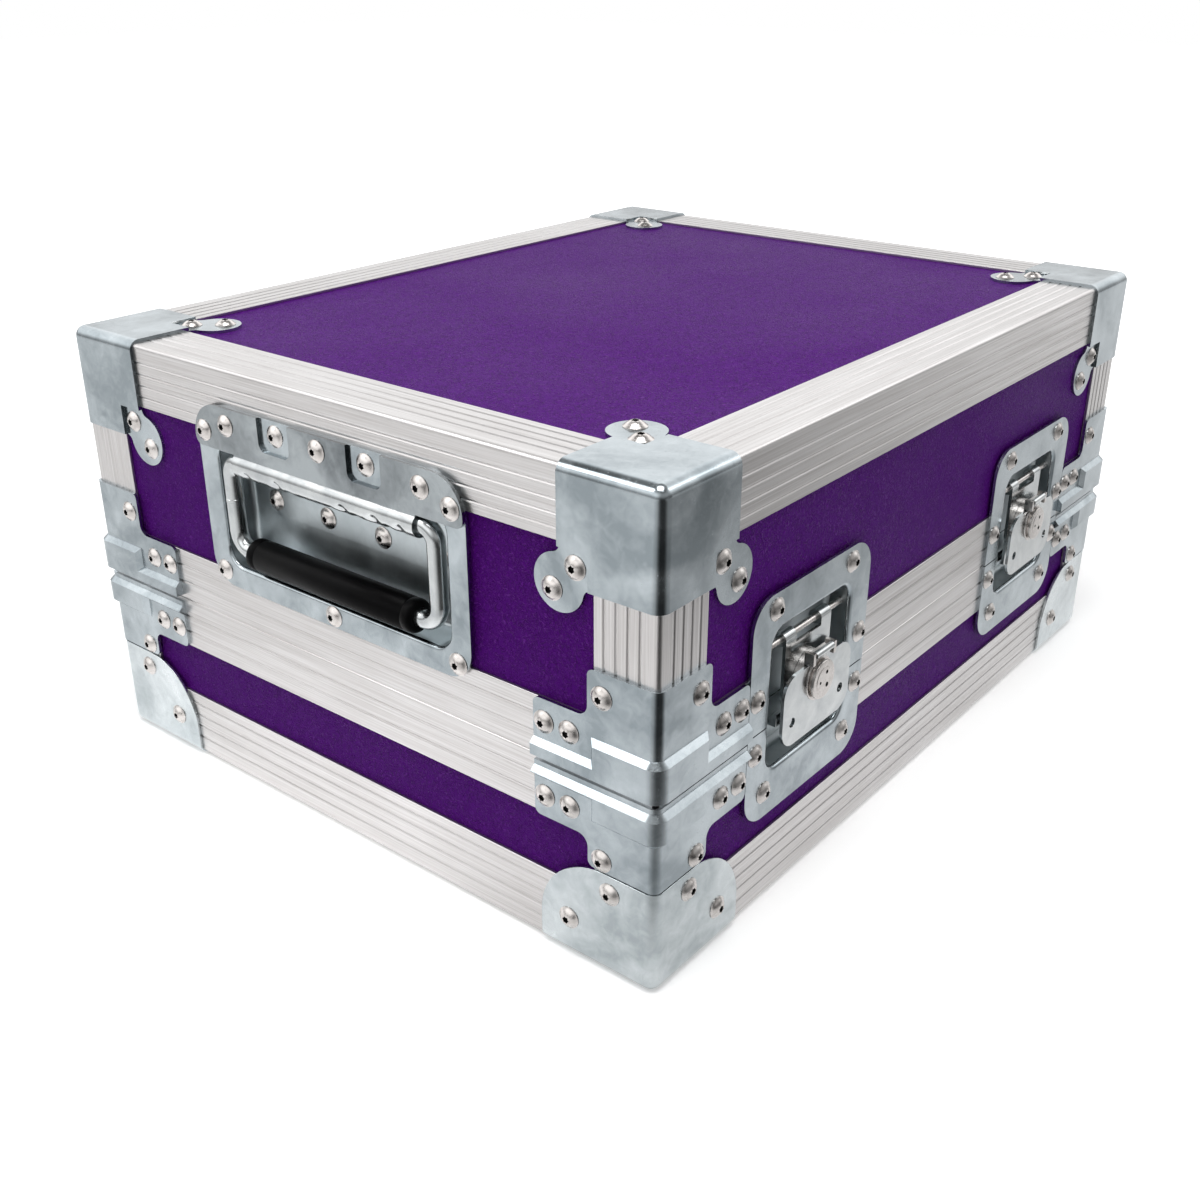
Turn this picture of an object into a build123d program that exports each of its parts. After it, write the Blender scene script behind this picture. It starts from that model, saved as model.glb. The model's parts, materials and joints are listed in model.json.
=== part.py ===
from build123d import *
import os

# Flight case for a pedalboard: a shallow base tray, a deep hinged lid,
# two twist latches on the front and a spring handle on each end.
# +X runs along the front, +Y to the back, +Z up. The origin is on the
# ground, under the middle of the whole case.

os.makedirs("parts", exist_ok=True)

# Driving sizes of the box, in millimetres
case_length = 434.0
case_depth = 348.0
base_height = 88.5
lid_height = 124.5
panel = 7.0
foam = 10.0

# Aluminium extrusions
wall = 1.6
edge_leg = 30.0
base_leg = 34.0
inner_leg = 14.0
inner_wall = 1.4
edge_band = 8.0
groove_count = 4
groove_width = 1.4
groove_depth = 0.5
edge_round = 2.0
rim_height = 26.5
rim_block = 9.0
rim_bead = 0.5
tongue_width = 3.0
tongue_height = 4.0
tongue_clearance = 0.6

# Steel sheet and rivets
sheet = 1.5
rivet_radius = 5.0
rivet_slope = 43.0
rivet_height = 2.6
rivet_sides = 6

# Corner pieces and stacking braces
corner_reach = 46.0
corner_round = 5.2
lobe_radius = 12.0
lobe_offset = 16.5
lobe_blend = 4.0
rivet_diagonals = (8.5, 19.7)
foot_reach = 57.0
foot_height = 48.5
foot_arc = 33.0
foot_rivets = ((21.0, 38.5), (42.0, 17.0))
brace_arm = 59.2
brace_arm_height = 27.0
brace_neck = 32.0
brace_height = 48.0
brace_round = 4.0
brace_blend = 5.0
brace_corner = 3.0
brace_gap = 1.75
brace_arm_rivets = (41.0, 53.7)
brace_arm_rivet_rise = 17.0
brace_neck_rivet = (25.0, 37.5)
ridge_out = 2.5
ridge_arm_height = 9.0
ridge_neck_height = 19.0
ridge_neck = 30.0
crest_lip = 2.2
slope_run = 2.4

# Twist latches
latch_inset = 106.0
latch_width = 93.0
latch_upper = 60.0
latch_lower = 44.0
latch_corner = 14.0
latch_open_width = 62.0
latch_open_upper = 43.0
latch_open_lower = 22.5
latch_open_corner = 8.0
latch_depth = 13.0
latch_gap = 0.3
pan_clearance = 0.5
latch_upper_rivets = ((30.0, 53.0), (40.7, 15.7))
latch_lower_rivets = ((40.7, -9.5), (32.5, -31.2))
rod_radius = 1.6
rod_rise = 33.0
rod_depth = 3.6
rod_clearance = 0.1
swing_width = 36.0
swing_drop = 2.5
ear_width = 8.0
hub_rise = 11.0
hub_radius = 11.5
hub_out = 6.2
hub_shaft = 4.7
hub_clearance = 0.1
cam_radius = 4.5
cam_offset = 3.5
cam_slack = 1.05
slot_end_gap = 0.3
plate_gap = 0.3
washer_radius = 9.0
washer = 1.2
hook_width = 24.0
hook_drop = 12.6
toe_depth = 1.2
toe_gap = 0.3
keeper_width = 28.0
keeper_lip = 4.5
keeper_drop = 5.0
keeper_foot = 9.0
wing_half_width = 27.0
wing_neck = 6.8
wing_drop = 24.0
wing_shoulder = 9.0
wing_corner = 9.0
wing_hole = 2.2
wing_hole_x = 19.5
wing_hole_drop = 13.0
wing_boss = 8.0
wing_boss_out = 0.8
wing_pin = 0.9
wing_pin_out = 0.8
wing_pin_rise = 13.4
pivot_clearance = 0.1
wing_knuckle = 1.6
lug = 2.0
lug_gap = 0.4

# Spring handles
handle_width = 165.0
handle_height = 88.0
handle_rise = 64.0
handle_corner = 14.0
handle_top_corner = 20.0
handle_open_width = 142.0
handle_open_low = 33.0
handle_open_high = 27.0
handle_open_corner = 9.0
handle_depth = 16.0
bail_radius = 4.0
bail_rise = 18.5
bail_depth = 0.5
bail_side_gap = 3.0
bail_drop = 42.0
bail_bend = 7.0
bail_stub = 28.0
tube_clearance = 0.1
tube_end_gap = 7.5
hinge_low = 23.5
notch_x = 28.0
notch_width = 20.0
notch_floor = 29.0
window_width = 16.0
leaf_low = 2.0
grip_radius = 7.5
grip_end_gap = 12.0
bail_sides = 12
bail_bend_steps = 3
handle_top_rivets = ((76.0, 31.0), (60.0, 36.0), (28.0, 37.5), (0.0, 37.5))
handle_low_rivets = ((75.0, -37.0), (0.0, -38.5))
leaf_rivets = (17.5, 52.5)
leaf_rivet_rise = 9.0

# Rear hinges
hinge_inset = 102.0
hinge_width = 64.0
hinge_leaf = 24.0
hinge_axis_out = 4.3
knuckle_radius = 3.7
hinge_pin = 2.0
pin_clearance = 0.05
knuckle_gap = 0.4
knuckle_count = 3
hinge_rivet_rise = 15.0
hinge_rivet_pitch = 20.0

# Derived planes of the case
rest_z = sheet
split_z = rest_z + base_height
top_z = split_z + lid_height
left_x = -case_length / 2
right_x = case_length / 2
wing_out = hub_out + plate_gap + sheet
front_out = wing_out + wing_boss_out
back_out = hinge_axis_out + knuckle_radius
mid_y = (front_out - back_out) / 2
front_y = mid_y - case_depth / 2
back_y = mid_y + case_depth / 2
skin = wall + panel
seat = skin + inner_wall
mid_plane = Plane((0, mid_y, 0), x_dir=(1, 0, 0), z_dir=(0, 1, 0))
to_back = Vector(0, 1, 0)
to_front = Vector(0, -1, 0)
to_right = Vector(1, 0, 0)
to_left = Vector(-1, 0, 0)
up = Vector(0, 0, 1)
down = Vector(0, 0, -1)
side_names = {"front": to_back, "back": to_front, "left": to_right, "right": to_left}


def face_middle(inward, z):
    """The middle of one outer face of the case, at height z."""
    half = case_depth / 2 if abs(inward.Y) > 0.5 else case_length / 2
    return Vector(0, mid_y, z) - inward * half


def face_plane(inward, along, z):
    """A plane on one outer face: x to the right seen from outside, y up, z outwards."""
    across = up.cross(inward * -1)
    return Plane(face_middle(inward, z) + across * along, x_dir=across, z_dir=inward * -1)


def corner_copies(piece):
    """The near left piece and its three mirror images, one at each corner of the case."""
    far_left = mirror(piece, about=mid_plane, mode=Mode.PRIVATE)
    near_right = mirror(piece, about=Plane.YZ, mode=Mode.PRIVATE)
    far_right = mirror(far_left, about=Plane.YZ, mode=Mode.PRIVATE)
    return {
        "near_left": piece,
        "near_right": near_right,
        "far_left": far_left,
        "far_right": far_right,
    }


def set_of(pieces):
    """Several separate solids as one set."""
    return Compound(children=list(pieces))


def groove_points(leg):
    """V grooves along one leg of an extrusion, from its edge band to its tip."""
    pitch = (leg - edge_band) / groove_count
    points = []
    for i in range(groove_count):
        start = edge_band + i * pitch
        points += [
            (start, 0),
            (start + groove_width / 2, groove_depth),
            (start + groove_width, 0),
        ]
    return points


def block(u0, u1, v0, v1):
    """Add a rectangle to the sketch in hand by its four limits."""
    with Locations(((u0 + u1) / 2, (v0 + v1) / 2)):
        Rectangle(u1 - u0, v1 - v0)


def double_angle(leg):
    """Edge extrusion section: a grooved outer angle, a hollow spine and an inner angle."""
    flat = groove_points(leg)
    flip = [(b, a) for a, b in reversed(flat)]
    tip = seat + inner_leg
    with BuildLine() as outer:
        Polyline(
            (edge_round, 0), *flat, (leg, 0), (leg, wall), (wall, wall), (wall, leg), (0, leg), *flip, (0, edge_round)
        )
        CenterArc((edge_round, edge_round), edge_round, 180, 90)
    make_face(outer.edges())
    block(wall / 2, tip, skin, seat)
    block(skin, seat, wall / 2, tip)


def rim_section(side):
    """Closing extrusion section, y away from the split: side 1 has the groove, side -1 the tongue."""
    middle = (wall + skin) / 2
    pitch = rim_height / 3
    beads = []
    for i in (2, 1):
        beads += [(0, i * pitch + groove_width), (groove_depth, i * pitch + groove_width / 2), (0, i * pitch)]
    with BuildLine() as outer:
        Polyline(
            (0, rim_height), *beads, (0, rim_bead), (rim_bead, 0), (seat, 0), (seat, rim_block + skin),
            (skin, rim_block + skin), (skin, rim_block), (wall, rim_block), (wall, rim_height), close=True,
        )
    make_face(outer.edges())
    if side > 0:
        half = tongue_width / 2 + tongue_clearance
        with BuildLine() as groove:
            Polyline(
                (middle - half, 0), (middle + half, 0),
                (middle + half - tongue_clearance / 2, tongue_height + tongue_clearance),
                (middle - half + tongue_clearance / 2, tongue_height + tongue_clearance), close=True,
            )
        make_face(groove.edges(), mode=Mode.SUBTRACT)
    else:
        half = tongue_width / 2
        with BuildLine() as tongue:
            Polyline(
                (middle - half, 0), (middle + half, 0), (middle + half - tongue_clearance, -tongue_height),
                (middle - half + tongue_clearance, -tongue_height), close=True,
            )
        make_face(tongue.edges())


def run_plane(inward, z, vertical):
    """Section plane of a horizontal run: x inwards, y along the given vertical."""
    return Plane(face_middle(inward, z), x_dir=inward, z_dir=inward.cross(vertical))


def side_length(inward):
    return case_length if abs(inward.Y) > 0.5 else case_depth


def cut_mitres(inward, z):
    """End a run at 45 degrees at both corners and take off the sharp tips."""
    for cut in mitre_planes(inward, z):
        split(bisect_by=cut, keep=Keep.TOP)
    for x in (left_x, right_x):
        for y in (front_y, back_y):
            with Locations((x, y, z)):
                Box(2 * edge_round, 2 * edge_round, case_depth, mode=Mode.SUBTRACT)


def mitre_planes(inward, z):
    """The two 45 degree planes that end a run at the corners of the case."""
    across = up.cross(inward)
    half = side_length(inward) / 2
    planes = []
    for end in (-1, 1):
        corner = face_middle(inward, z) + across * (end * half)
        planes.append(Plane(corner, z_dir=across * -end - inward))
    return planes


def save(piece, name):
    """Label one finished piece and write it."""
    piece.label = name
    export_step(piece, f"parts/{name}.step")


# Sheet lid and base panels, held in the channels of the extrusions

pan_half = latch_open_width / 2 + sheet + pan_clearance
handle_pan_half = handle_open_width / 2 + sheet + pan_clearance
handle_z = split_z + handle_rise
latch_places = {"left": left_x + latch_inset, "right": right_x - latch_inset}

for part_name, low, high in (("lid", split_z + rim_block, top_z - seat), ("base", rest_z + seat, split_z - rim_block)):
    for side, inward in side_names.items():
        with BuildPart() as wall_panel:
            with BuildSketch(face_plane(inward, 0, (low + high) / 2).offset(-wall)):
                Rectangle(side_length(inward) - 2 * seat, high - low)
            extrude(amount=-panel)
            if side == "front":
                for x in latch_places.values():
                    with BuildSketch(face_plane(inward, x, split_z)):
                        block(-pan_half, pan_half, -latch_open_lower - sheet - pan_clearance,
                              latch_open_upper + sheet + pan_clearance)
                    extrude(amount=-skin * 2, mode=Mode.SUBTRACT)
            if part_name == "lid" and side in ("left", "right"):
                with BuildSketch(face_plane(inward, 0, handle_z)):
                    block(-handle_pan_half, handle_pan_half, -handle_open_low - sheet - pan_clearance,
                          handle_open_high + sheet + pan_clearance)
                extrude(amount=-skin * 2, mode=Mode.SUBTRACT)
        save(wall_panel.part, f"{part_name}_panel_{side}")

with BuildPart() as lid_panel_top:
    with BuildSketch(Plane((0, mid_y, top_z - wall))):
        Rectangle(case_length - 2 * seat, case_depth - 2 * seat)
    extrude(amount=-panel)
save(lid_panel_top.part, "lid_panel_top")

with BuildPart() as base_panel_bottom:
    with BuildSketch(Plane((0, mid_y, rest_z + wall))):
        Rectangle(case_length - 2 * seat, case_depth - 2 * seat)
    extrude(amount=panel)
save(base_panel_bottom.part, "base_panel_bottom")

# Foam pads inside the lid and on the floor of the base

foam_inset = seat + inner_leg + pan_clearance
for name, z, thickness in (("lid_foam", top_z - skin, -foam), ("base_foam", rest_z + skin, foam)):
    with BuildPart() as pad:
        with BuildSketch(Plane((0, mid_y, z))):
            Rectangle(case_length - 2 * foam_inset, case_depth - 2 * foam_inset)
        extrude(amount=thickness)
    save(pad.part, name)

# Edge extrusions of the lid top and the base bottom, mitred at the corners

for part_name, z, vertical, leg in (("lid", top_z, down, edge_leg), ("base", rest_z, up, base_leg)):
    for side, inward in side_names.items():
        with BuildPart() as edge:
            with BuildSketch(run_plane(inward, z, vertical)):
                double_angle(leg)
            extrude(amount=side_length(inward) / 2, both=True)
            cut_mitres(inward, z)
        save(edge.part, f"{part_name}_edge_{side}")

# Upright extrusions between the rims and the edge extrusions

uprights = (("lid", split_z + rim_height, top_z - edge_leg), ("base", rest_z + base_leg, split_z - rim_height))
for part_name, low, high in uprights:
    with BuildPart() as upright:
        with BuildSketch(Plane((left_x, front_y, low))):
            double_angle(edge_leg)
        extrude(amount=high - low)
    save(set_of(corner_copies(upright.part).values()), f"{part_name}_uprights")

# Closing rims of the lid and the base: a groove above, a tongue below

for part_name, vertical, kind in (("lid", up, 1), ("base", down, -1)):
    rim_runs = []
    for side, inward in side_names.items():
        with BuildPart() as rim:
            with BuildSketch(run_plane(inward, split_z, vertical)):
                rim_section(kind)
            extrude(amount=side_length(inward) / 2, both=True)
            cut_mitres(inward, split_z)
            if side == "front":
                for x in latch_places.values():
                    with BuildSketch(face_plane(inward, x, split_z)):
                        block(-pan_half, pan_half, -rim_height - skin, rim_height + skin)
                    extrude(amount=-2 * skin, mode=Mode.SUBTRACT)
        rim_runs += rim.solids()
    save(set_of(rim_runs), f"{part_name}_rim")

# Pressed steel corner pieces, built at the near left corner and mirrored


def point_planes(z, lid):
    """The three faces at the near left point, x and y away from it and z outwards."""
    point = Vector(left_x, front_y, z)
    if lid:
        return (Plane(point, x_dir=down, z_dir=to_front), Plane(point, x_dir=to_back, z_dir=to_left),
                Plane(point, x_dir=to_right, z_dir=up))
    return (Plane(point, x_dir=to_right, z_dir=to_front), Plane(point, x_dir=up, z_dir=to_left),
            Plane(point, x_dir=to_back, z_dir=down))


def rounded_point(offset, reach, height, radius):
    """A box grown outwards from the near left point of the lid top, its three outer edges rounded."""
    tip = Vector(left_x - offset, front_y - offset, top_z + offset)
    with BuildPart() as body:
        with BuildSketch(Plane(tip)):
            Rectangle(reach + offset, reach + offset, align=Align.MIN)
        extrude(amount=-height - offset)
        fillet([e for e in body.edges() if min((v.center() - tip).length for v in e.vertices()) < sheet], radius)
    return body.part


lid_point = rounded_point(0, case_depth / 2, case_depth / 2, edge_round)
with BuildPart() as lid_corner:
    add(rounded_point(sheet, corner_reach, corner_reach, corner_round))
    add(lid_point, mode=Mode.SUBTRACT)
    step = edge_leg + sheet
    middle = edge_leg + lobe_offset
    for plane in point_planes(top_z, True):
        with BuildSketch(plane):
            block(step, corner_reach + sheet, step, corner_reach + sheet)
        extrude(amount=sheet, mode=Mode.SUBTRACT)
        with BuildSketch(plane.offset(-wall)):
            block(edge_leg, step, edge_leg, corner_reach)
            block(edge_leg, corner_reach, edge_leg, step)
        extrude(amount=wall + sheet)
        with BuildSketch(plane.offset(-wall)) as tab:
            block(edge_leg, corner_reach, edge_leg, corner_reach)
            with Locations((middle, middle)):
                Circle(lobe_radius)
            notches = [v for v in tab.vertices() if abs(max(v.X, v.Y) - corner_reach) < 0.01 and min(v.X, v.Y) > step]
            fillet(notches, lobe_blend)
        extrude(amount=sheet)
for place, piece in corner_copies(lid_corner.part).items():
    save(piece, f"lid_corner_{place}")


def round_off(plane, far_x, far_y, radius, sign=1):
    """Cut the sheet away outside an arc at its far corner."""
    with BuildSketch(plane, mode=Mode.PRIVATE) as waste:
        block(far_x - radius, far_x + sheet, *sorted((sign * (far_y - radius), sign * (far_y + sheet))))
        with Locations((far_x - radius, sign * (far_y - radius))):
            Circle(radius, mode=Mode.SUBTRACT)
    extrude(waste.sketch, amount=sheet, mode=Mode.SUBTRACT)


base_point = mirror(lid_point, about=Plane.XY.offset((rest_z + top_z) / 2), mode=Mode.PRIVATE)
foot_shell = mirror(
    rounded_point(sheet, foot_reach, foot_height - sheet, corner_round),
    about=Plane.XY.offset((rest_z + top_z) / 2),
    mode=Mode.PRIVATE,
)
with BuildPart() as foot:
    add(foot_shell)
    add(base_point, mode=Mode.SUBTRACT)
    foot_face = foot_height - sheet
    far_corners = ((foot_reach, foot_face), (foot_face, foot_reach), (foot_reach, foot_reach))
    for plane, (far_x, far_y) in zip(point_planes(rest_z, False), far_corners):
        round_off(plane, far_x, far_y, foot_arc)
save(set_of(corner_copies(foot.part).values()), "base_corners")

# Stacking braces either side of the split, with a pressed ridge that locks one case on the next


def wrap(offset, reach, low, high, radius, slopes=(), end_slope=False):
    """A strip bent round the near left upright edge, standing out by the offset, sloped at some levels."""
    with BuildPart() as strip:
        with BuildSketch(Plane((left_x, front_y, low))) as outer:
            block(-offset, reach, -offset, reach)
            fillet(outer.vertices().group_by(Axis.X)[0].sort_by(Axis.Y)[0], radius)
        extrude(amount=high - low)
        edge = Vector(left_x + reach, front_y + reach, 0)
        if end_slope:
            ends = strip.edges().filter_by(Axis.Z).group_by(Axis.X)[0] + strip.edges().filter_by(Axis.Z).group_by(Axis.Y)[0]
            chamfer([e for e in ends if reach in (e.center().X - left_x, e.center().Y - front_y)], slope_run)
        for level in slopes:
            rims = strip.edges().filter_by_position(Axis.Z, level, level)
            outside = [e for e in rims if e.center().X < edge.X - slope_run and e.center().Y < edge.Y - slope_run]
            chamfer(outside, slope_run)
        with BuildSketch(Plane((left_x, front_y, low))) as inner:
            block(0, reach, 0, reach)
            chamfer(inner.vertices().group_by(Axis.X)[0].sort_by(Axis.Y)[0], edge_round / 2)
        extrude(amount=high - low, mode=Mode.SUBTRACT)
    return strip.part


def brace_planes():
    """The front and left faces at the near left edge, x away from the edge, with the sign of up."""
    edge = Vector(left_x, front_y, split_z)
    return (
        (Plane(edge, x_dir=to_right, z_dir=to_front), 1),
        (Plane(edge, x_dir=to_back, z_dir=to_left), -1),
    )


def stacking_brace(height, lip):
    """The brace above the split; a lip keeps the ridge back from the split."""
    low = split_z + brace_gap
    with BuildPart() as brace:
        add(wrap(sheet, brace_arm, low, split_z + height, brace_round))
        for plane, sign in brace_planes():
            with BuildSketch(plane) as notch:
                block(brace_neck, brace_arm + sheet, *sorted((sign * brace_arm_height, sign * (height + sheet))))
                inner = [v for v in notch.vertices() if v.X < brace_neck + 1 and abs(v.Y) < brace_arm_height + 1]
                fillet(inner, brace_blend)
            extrude(amount=sheet, mode=Mode.SUBTRACT)
            round_off(plane, brace_neck, height, brace_corner, sign)
            round_off(plane, brace_arm, brace_arm_height, brace_corner, sign)
        levels = [low + lip] if lip else []
        out = sheet + ridge_out
        ridge_round = brace_round + ridge_out
        add(wrap(out, brace_arm, low + lip, split_z + ridge_arm_height, ridge_round, levels + [split_z + ridge_arm_height]))
        add(wrap(out, ridge_neck, low + lip, split_z + ridge_neck_height, ridge_round,
                 levels + [split_z + ridge_neck_height], end_slope=True))
    return brace.part


lower_brace_height = base_height - foot_height + sheet - brace_gap / 2
save(set_of(corner_copies(stacking_brace(brace_height, 0)).values()), "upper_braces")
lower_brace = mirror(stacking_brace(lower_brace_height, crest_lip), about=Plane.XY.offset(split_z), mode=Mode.PRIVATE)
save(set_of(corner_copies(lower_brace).values()), "lower_braces")


def rounded_block(u0, u1, v0, v1, low_radius, high_radius):
    """Add a rectangle with one corner radius below and another above."""
    with BuildSketch(mode=Mode.PRIVATE) as shape:
        block(u0, u1, v0, v1)
        if high_radius:
            fillet(shape.vertices().group_by(Axis.Y)[-1], high_radius)
        if low_radius:
            fillet(shape.vertices().group_by(Axis.Y)[0], low_radius)
    add(shape.sketch)


def section_plane(face, along=0):
    """A plane square to a face and upright, x outwards and y up, extruded towards the face's left."""
    return Plane(face.origin + face.x_dir * along, x_dir=face.z_dir, z_dir=face.x_dir * -1)


def disc(x, y, radius, mode=Mode.ADD):
    """Add a circle to the sketch in hand."""
    with Locations((x, y)):
        Circle(radius, mode=mode)


# Twist latches: two dishes and a keeper, a rod, a swinging plate, a hook plate, a hub and a folding wing

half_width = latch_width / 2
half_open = latch_open_width / 2
ear = rod_radius + rod_clearance + sheet
plate_front = rod_depth - ear
plate_back = plate_front + sheet
hook_front = plate_back + plate_gap
hook_back = hook_front + sheet
lip_front = hook_back + toe_depth + toe_gap
slot_rise = hub_rise + cam_offset
slot_half = cam_radius + cam_slack
pin_rise = hub_rise + wing_pin_rise
pin_out = hub_out + wing_pin_out
wing_back = hub_out + plate_gap
rods = []

for side, x in latch_places.items():
    face = face_plane(to_back, x, split_z)
    section = section_plane(face)

    for name, sign, flange, opening in (
        ("upper_dish", 1, latch_upper, latch_open_upper),
        ("lower_dish", -1, latch_lower, latch_open_lower),
    ):
        with BuildPart() as dish:
            radii = (0, latch_corner) if sign > 0 else (latch_corner, 0)
            with BuildSketch(face):
                rounded_block(-half_width, half_width, *sorted((sign * latch_gap, sign * flange)), *radii)
            extrude(amount=sheet)
            radii = [r and latch_open_corner for r in radii]
            for wall_out, plane, mode in ((sheet, face, Mode.ADD), (0, face.offset(sheet), Mode.SUBTRACT)):
                grown = [r and r + wall_out for r in radii]
                edge_y = sorted((sign * latch_gap, sign * (opening + wall_out)))
                with BuildSketch(plane):
                    rounded_block(-half_open - wall_out, half_open + wall_out, *edge_y, *grown)
                extrude(amount=-latch_depth, mode=mode)
        save(dish.part, f"latch_{name}_{side}")

    with BuildPart() as keeper:
        floor = latch_depth - sheet
        shelf = -keeper_drop - keeper_lip
        with BuildSketch(section):
            block(-floor, -floor + sheet, shelf - keeper_foot, shelf)
            block(-floor, -lip_front, shelf - sheet, shelf)
            block(-lip_front - sheet, -lip_front, shelf - sheet, shelf + keeper_lip)
        extrude(amount=keeper_width / 2, both=True)
    save(keeper.part, f"latch_keeper_{side}")

    with BuildPart() as rod:
        with BuildSketch(section):
            disc(-rod_depth, rod_rise, rod_radius)
        extrude(amount=half_open, both=True)
    rods.append(rod.part)

    with BuildPart() as swing:
        with BuildSketch(face.offset(-plate_front)):
            rounded_block(-swing_width / 2, swing_width / 2, swing_drop, rod_rise, lobe_blend, 0)
        extrude(amount=-sheet)
        with BuildSketch(section):
            disc(-rod_depth, rod_rise, ear)
        extrude(amount=swing_width / 2, both=True)
        with BuildSketch(section):
            disc(-rod_depth, rod_rise, rod_radius + rod_clearance)
        extrude(amount=swing_width / 2, both=True, mode=Mode.SUBTRACT)
        with BuildSketch(face):
            gap_half = swing_width / 2 - ear_width
            block(-gap_half, gap_half, rod_rise - ear, rod_rise + 2 * ear)
        extrude(amount=-latch_depth, mode=Mode.SUBTRACT)
        with BuildSketch(face):
            disc(0, hub_rise, hub_shaft + hub_clearance)
        extrude(amount=-latch_depth, mode=Mode.SUBTRACT)
    save(swing.part, f"latch_swing_{side}")

    with BuildPart() as hook:
        with BuildSketch(face.offset(-hook_front)):
            rounded_block(-hook_width / 2, hook_width / 2, -hook_drop, slot_rise + slot_half + 2 * sheet, sheet, lobe_blend)
            with Locations((0, slot_rise)):
                SlotOverall(2 * (cam_radius + cam_offset + slot_end_gap), 2 * slot_half, mode=Mode.SUBTRACT)
        extrude(amount=-sheet)
        with BuildSketch(face.offset(-hook_back)):
            block(sheet - hook_width / 2, hook_width / 2 - sheet, -hook_drop, -hook_drop + sheet)
        extrude(amount=-toe_depth)
    save(hook.part, f"latch_hook_{side}")

    with BuildPart() as hub:
        with BuildSketch(face.offset(-plate_front + pivot_clearance)):
            disc(0, hub_rise, hub_radius)
        extrude(amount=plate_front - pivot_clearance + hub_out)
        with BuildSketch(face.offset(-plate_front + pivot_clearance)):
            disc(0, hub_rise, hub_shaft)
        extrude(amount=plate_front - pivot_clearance - hook_front)
        with BuildSketch(face.offset(-plate_back - pivot_clearance)):
            disc(0, slot_rise, cam_radius)
        extrude(amount=plate_back + pivot_clearance - hook_back - plate_gap)
        with BuildSketch(face.offset(-hook_back - plate_gap)):
            disc(0, hub_rise, washer_radius)
        extrude(amount=-washer)
        lug_low = hub_rise + wing_shoulder
        for end in (-1, 1):
            lug_x = sorted((end * (wing_neck + lug_gap), end * (wing_neck + lug_gap + lug)))
            with BuildSketch(face.offset(hub_out - sheet)):
                block(*lug_x, hub_rise, pin_rise + wing_knuckle)
            extrude(amount=sheet)
            with BuildSketch(face.offset(hub_out)):
                block(*lug_x, lug_low + lug_gap, pin_rise + wing_knuckle)
            extrude(amount=wing_out - hub_out)
        with BuildSketch(section):
            disc(pin_out, pin_rise, wing_pin)
        extrude(amount=wing_neck + lug_gap, both=True)
    save(hub.part, f"latch_hub_{side}")

    with BuildPart() as wing:
        with BuildSketch(face.offset(wing_back)):
            rounded_block(-wing_half_width, wing_half_width, hub_rise - wing_drop, lug_low, wing_corner, wing_corner)
            block(-wing_neck, wing_neck, hub_rise, pin_rise)
            for end in (-1, 1):
                disc(end * wing_hole_x, hub_rise - wing_hole_drop, wing_hole, Mode.SUBTRACT)
        extrude(amount=sheet)
        with BuildSketch(face.offset(wing_out)):
            disc(0, hub_rise, wing_boss)
        extrude(amount=wing_boss_out)
        with BuildSketch(section):
            disc(pin_out, pin_rise, wing_knuckle)
        extrude(amount=wing_neck, both=True)
        with BuildSketch(section):
            disc(pin_out, pin_rise, wing_pin + pivot_clearance)
        extrude(amount=wing_neck, both=True, mode=Mode.SUBTRACT)
    save(wing.part, f"latch_wing_{side}")
save(set_of(rods), "latch_rods")

# Spring handles: a recessed dish, a hinge plate rolled round the bail, the bail and its rubber grip

bail_half_span = handle_open_width / 2 - bail_side_gap - bail_radius
tube_half_length = bail_half_span - tube_end_gap
grip_half_length = bail_half_span - grip_end_gap
tube_bore = bail_radius + tube_clearance
tube_radius = tube_bore + sheet
bail_low = bail_rise - bail_drop
handle_faces = {side: face_plane(side_names[side], 0, handle_z) for side in ("left", "right")}


def bail_points():
    """The bail's centre line: down one leg, round two stepped bends and up the other."""
    leg = [(bail_half_span, bail_rise)]
    for i in range(bail_bend_steps + 1):
        arm = Vector(bail_bend, 0).rotate(Axis.Z, -90 * i / bail_bend_steps)
        leg.append((bail_half_span - bail_bend + arm.X, bail_low + bail_bend + arm.Y))
    return leg + [(-x, y) for x, y in reversed(leg)]


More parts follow.
